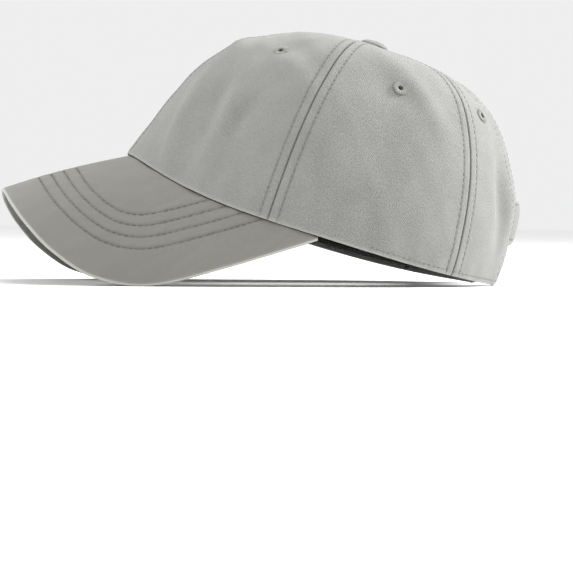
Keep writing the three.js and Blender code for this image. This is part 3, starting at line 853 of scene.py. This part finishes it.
def slot_rows(inset):
    """A row of stitches beside the slot, round its arch and down both sides."""
    edge = SLOT_EDGE.copy()
    step = unit(np.gradient(edge, axis=0))
    normal = np.stack([step[:, 1], -step[:, 0]], -1)
    moved = edge + normal * inset
    moved = moved[(moved[:, 0] >= 0) & (moved[:, 1] < BACK_WALK[-1] - 1.5)]
    level = np.interp(moved[:, 1], BACK_WALK, FINE)
    deg = back_angle(moved[:, 0], level)
    left, n_left = cloth_point(deg, level)
    right, n_right = cloth_point(-deg, level)
    return np.concatenate([left[::-1], right[1:]]), np.concatenate([n_left[::-1], n_right[1:]])


def rim_rows():
    rows = []
    for side in (1, -1):
        deg = side * np.linspace(SIDE_SEAM - 32, 163, 120)
        rows.append(cloth_point(deg, levels_above(deg, [2.4])[0]))
    return rows


HEM_INSETS = (1.9, 7.6)
for name, rows, thick, sink in (
        ("crown_stitches", seam_rows(), 0.24, 0.05),
        ("hem_stitches", [slot_rows(inset) for inset in HEM_INSETS], 0.22, 0.12),
        ("rim_stitches", rim_rows(), 0.22, 0.05)):
    stitches(name, rows, SEAM_THREAD, length=2.1, gap=0.8, thick=thick, sink=sink)


# Band inside the rim, and the label on it.
def lined_point(deg, level, depth):
    """A place behind the crown's outer face, following its folds but not its seams."""
    deg, level = np.broadcast_arrays(np.asarray(deg, float), np.asarray(level, float))
    here, normal, *_ = crown_frame(deg, level)
    return here + normal * (fold_relief(here) - depth)[..., None]


def make_band():
    end = float(back_angle(SLOT_HALF + STRAP_TUCK + 1.5, 0.95))
    deg = np.linspace(-end, end, 241)
    hem = np.array([0, 0.4, 1, 1.8])
    rise = np.concatenate([hem, np.linspace(2.6, BAND_HEIGHT - 2.6, 14), BAND_HEIGHT - hem[::-1]])
    levels = levels_above(deg, BAND_INSET + rise)
    run = np.repeat(walk(crown_point(deg, 1.0))[None], len(rise), 0)
    up = np.repeat(rise[:, None], len(deg), 1)
    edge = np.minimum(up, BAND_HEIGHT - up)
    bulge = 0.3 * (1 - np.exp(-edge / 1.2))
    bulge += 0.15 * ripple(run / 2.4, 1.3) * np.exp(-(((edge - 2.2) / 3) ** 2))
    points = lined_point(deg[None], levels, BAND_DEPTH + BAND_CLOTH - 0.3 + bulge)
    bm = laid_grid(to_row(points), np.stack([run, up], -1))
    face_in(bm)
    obj = solid(finish_sheet(bm, "band_cloth", BAND_SHADED_TWILL), BAND_CLOTH)
    lines = []
    for rise_at in (2.2, BAND_HEIGHT - 2.2):
        level = levels_above(deg, [BAND_INSET + rise_at])[0]
        lines.append((lined_point(deg, level, BAND_DEPTH + BAND_CLOTH + 0.1), -crown_frame(deg, level)[1]))
    thread = stitches("band_stitches", lines, BAND_SHADED_THREAD, length=2.6, gap=0.9, thick=0.22)
    return obj


band = make_band()
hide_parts("sweatband")


def make_label():
    per = crown_frame(float(LABEL_AT), 1.0)[4]
    across = np.linspace(-LABEL_WIDTH / 2, LABEL_WIDTH / 2, 28)
    low = BAND_INSET + 2
    rise = np.linspace(0, LABEL_HEIGHT, 25)
    deg = LABEL_AT + across / per
    levels = levels_above(deg, low + rise)
    x = np.repeat(across[None], len(rise), 0)
    y = np.repeat(rise[:, None], len(across), 1)
    wave = 0.15 * ripple(x / 4.0 + y / 9.0, 0.6)
    points = lined_point(deg[None], levels, BAND_DEPTH + BAND_CLOTH + 0.85 + wave)
    bm = laid_grid(to_row(points), np.stack([x, y], -1))
    face_in(bm)
    return solid(finish_sheet(bm, "label_cloth", LABEL_CLOTH), 0.5)


label = make_label()
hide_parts("inner_label")


# Strap across the slot.
def strap_point(across, level, lift=0.0):
    """Outer face of the strap: over the far panel, bowed across the slot, under the near panel's edge."""
    across, level = np.broadcast_arrays(np.asarray(across, float), np.asarray(level, float))
    deg = np.sign(across) * back_angle(np.abs(across), level)
    deg = np.where(np.abs(across) < 0.02, 180.0, deg)
    here, normal, *_ = crown_frame(deg, level)
    middle = (STRAP_LOW + STRAP_HIGH) / 2
    tall = 1 - np.abs((level - middle) / (STRAP_LOW - middle)) ** 2.4
    bulge = 1.3 * tall * np.exp(-((across / SLOT_HALF) ** 2) * 0.8)
    bow = edge_bow(deg, level)
    outside = STRAP_GAP + STRAP_CLOTH + 0.5 + bulge
    under = smooth((across / SLOT_HALF - 0.1) / 0.75)
    rise = outside + (-CLOTH - STRAP_GAP - outside) * under
    return here + normal * (fold_relief(here) + bow + rise + lift)[..., None], normal


def make_strap():
    inner = 2.6
    side = np.array([0, 0.3, 0.8, 1.5, 2.4, 3.4])
    end = SLOT_HALF + STRAP_TUCK
    middle = np.linspace(-STRAP_HALF + 4.6, end - 4.6, 62)
    x = np.concatenate([-STRAP_HALF + side, middle, (end - side)[::-1]])
    first = np.interp(STRAP_HIGH, FINE, BACK_WALK)
    tall = float(np.interp(STRAP_LOW, FINE, BACK_WALK) - first)

    def to_level(down):
        return np.interp(first + down, BACK_WALK, FINE)

    y = np.concatenate([side, np.linspace(4.4, tall - 4.4, 20), (tall - side)[::-1]])
    across, down = np.meshgrid(x, y)
    edge = np.minimum(np.minimum(across + STRAP_HALF, end - across), np.minimum(down, tall - down))
    pucker = 0.14 * ripple(across / 1.6 + down / 2.1, 2.7) * np.exp(-(((edge - inner) / 2.5) ** 2))
    lift = -0.5 * np.exp(-edge / 0.5) - 0.22 * np.exp(-(((edge - inner) / 0.8) ** 2)) + pucker
    points, _ = strap_point(across, to_level(y)[:, None], lift)
    # Painted shade along the strap's stitch line.
    crease = 0.3 * np.exp(-(((edge - inner) / 0.7) ** 2))
    # Painted highlight on the strap's edges.
    worn = 0.3 * np.exp(-((edge / 0.8) ** 2))
    bm = laid_grid(to_row(points), np.stack([down, across], -1), crease=crease, worn=worn)
    face_out(bm)
    obj = solid(finish_sheet(bm, "strap_cloth", CROWN_CLOTH), STRAP_CLOTH)
    long_way = np.linspace(-STRAP_HALF + inner, end - inner, 120)
    short_way = np.linspace(inner, tall - inner, 40)
    lines = [strap_point(long_way, to_level(down), -0.2) for down in (inner, tall - inner)]
    lines += [strap_point(at, to_level(short_way), -0.1) for at in (-STRAP_HALF + inner, -SLOT_HALF - 4)]
    thread = stitches("strap_stitches", lines, SEAM_THREAD, length=2.1, gap=0.8, thick=0.24)
    return obj


strap = make_strap()
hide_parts("closing_strap")


# Button: a ball pressed flat, its cloth gathered a little round the edge.
def make_button():
    bm = bmesh.new()
    bmesh.ops.create_uvsphere(bm, u_segments=56, v_segments=28, radius=1.0)
    for v in bm.verts:
        x, y, z = v.co
        around = math.atan2(y, x)
        gather = 1 + 0.012 * math.sin(around * 9) * (1 - abs(z)) + 0.01 * math.sin(around * 4 + 1)
        z = z * BUTTON_HEIGHT if z > 0 else z * 0.25
        forward = BUTTON_FORWARD + BUTTON_NUDGE
        v.co = Vector(to_row([
            x * BUTTON_RADIUS * gather,
            y * BUTTON_RADIUS * gather - forward,
            CROWN_HEIGHT - BUTTON_SUNK + z * 0.9,
        ]))
    return finish_mesh(bm, "button_cloth", CROWN_PLAIN)


button = make_button()
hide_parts("top_button")


# Eyelets: a cord round the hole, wrapped in satin stitches.
def make_eyelet(name, deg, level):
    here, normal, down, around, _ = crown_frame(deg, level)
    middle = here + normal * float(crown_relief(np.array(deg), np.array(level)))
    basis = np.stack([around, np.cross(normal, around), normal], -1)
    bm = bmesh.new()

    def place(local):
        return to_row(middle + basis @ np.asarray(local, float))

    ring = bmesh.ops.create_circle(bm, segments=10, radius=1.0)["verts"]
    for v in ring:
        v.co = Vector((EYELET_CORD + 1.15 * v.co.x, 0, 0.1 + 0.5 * v.co.y))
    bmesh.ops.spin(
        bm, geom=ring + bm.edges[:], cent=(0, 0, 0), axis=(0, 0, 1),
        angle=2 * math.pi, steps=36, use_merge=True)
    for v in bm.verts:
        v.co = Vector(place(v.co[:]))
    places = []
    for k in range(EYELET_LOOPS):
        turn = 2 * math.pi * (k + 0.25 * math.sin(k * 2.4)) / EYELET_LOOPS
        out = np.array([math.cos(turn), math.sin(turn), 0])
        side = np.array([-math.sin(turn), math.cos(turn), 0])
        size = (1.28 + 0.12 * math.sin(k * 1.9), 0.3, 0.42)
        three = (out, side, np.array([0, 0, 1.0]))
        axes = [turn_to_row(basis @ axis) * s / 1000 for axis, s in zip(three, size)]
        places.append(placed(place(out * (EYELET_CORD + 0.05) + np.array([0, 0, 0.36])), axes))
    loops = ovals(places, 2)
    mesh = bpy.data.meshes.new("loops")
    loops.to_mesh(mesh)
    loops.free()
    bm.from_mesh(mesh)
    bpy.data.meshes.remove(mesh)
    return finish_mesh(bm, name, EYELET_THREAD)


for node, (deg, level) in EYELETS.items():
    obj = make_eyelet(node.replace("eyelet", "ring"), deg, level)
    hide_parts(node)


# Pale floor, soft light, and the camera where the photograph's was.
def paper(color):
    mat = bpy.data.materials.new("floor_paper")
    mat.use_nodes = True
    shader = next(n for n in mat.node_tree.nodes if n.type == "BSDF_PRINCIPLED")
    shader.inputs["Base Color"].default_value = (*color, 1)
    shader.inputs["Roughness"].default_value = 0.9
    shader.inputs["Specular IOR Level"].default_value = 0.1
    return mat


floor_grid = bmesh.new()
bmesh.ops.create_grid(floor_grid, x_segments=2, y_segments=2, size=6.0)
new_object(floor_grid, "floor", paper((0.94, 0.94, 0.94)))

scene = bpy.context.scene
world = bpy.data.worlds.new("studio")
scene.world = world
world.use_nodes = True
world.node_tree.nodes["Background"].inputs["Color"].default_value = (1, 1, 1, 1)
world.node_tree.nodes["Background"].inputs["Strength"].default_value = 0.86


def softbox(name, place, target, size, power):
    """Square light, placed in metres, its power in watts."""
    data = bpy.data.lights.new(name, "AREA")
    data.shape = "RECTANGLE"
    data.size = data.size_y = size
    data.energy = power
    obj = bpy.data.objects.new(name, data)
    scene.collection.objects.link(obj)
    obj.location = place
    obj.rotation_euler = (Vector(target) - Vector(place)).to_track_quat("-Z", "Y").to_euler()


softbox("light_top", (0.25, 0.1, 1.5), (0, 0, 0.08), 0.8, 13)
softbox("light_rear", (-0.15, 1.55, 0.95), (0, 0, 0.08), 0.5, 44)
softbox("light_front", (0.1, -1.5, 1.1), (0, 0, 0.1), 0.35, 9)

# The camera was fitted to the upright cap: its turn and rise, the lean that it saw, and its distance
# in millimetres. The cap's own origin falls on ORIGIN_PIXEL in a picture PICTURE_SIZE pixels wide.
TURN, RISE, FIT_LEAN = math.radians(7.962), math.radians(1.605), math.radians(17.331)
FAR = 1360.0
PICTURE_SIZE = 573
PIXELS_PER_MM = 1.95
ORIGIN_PIXEL = (324.018, 329.306)
aside, lower = ((PICTURE_SIZE / 2 - at) / PIXELS_PER_MM for at in ORIGIN_PIXEL)
right = np.array([math.sin(TURN), math.cos(TURN), 0])
up = np.array([-math.sin(RISE) * math.cos(TURN), math.sin(RISE) * math.sin(TURN), math.cos(RISE)])
back = np.array([math.cos(RISE) * math.cos(TURN), -math.cos(RISE) * math.sin(TURN), math.sin(RISE)])
eye = right * aside + up * lower + back * FAR
c, s = math.cos(FIT_LEAN), math.sin(FIT_LEAN)
UNLEAN = np.array([[1, 0, 0], [0, c, -s], [0, s, c]])
pose = placed(to_row(UNLEAN @ eye), [turn_to_row(UNLEAN @ axis) for axis in (right, up, back)])
cam_data = bpy.data.cameras.new("camera")
cam_data.sensor_width = 36
cam_data.lens = cam_data.sensor_width * PIXELS_PER_MM * FAR / PICTURE_SIZE
cam_data.clip_end = 50
cam = bpy.data.objects.new("camera", cam_data)
scene.collection.objects.link(cam)
cam.matrix_world = pose
scene.camera = cam
scene.view_settings.view_transform = "Standard"

note_bounds()
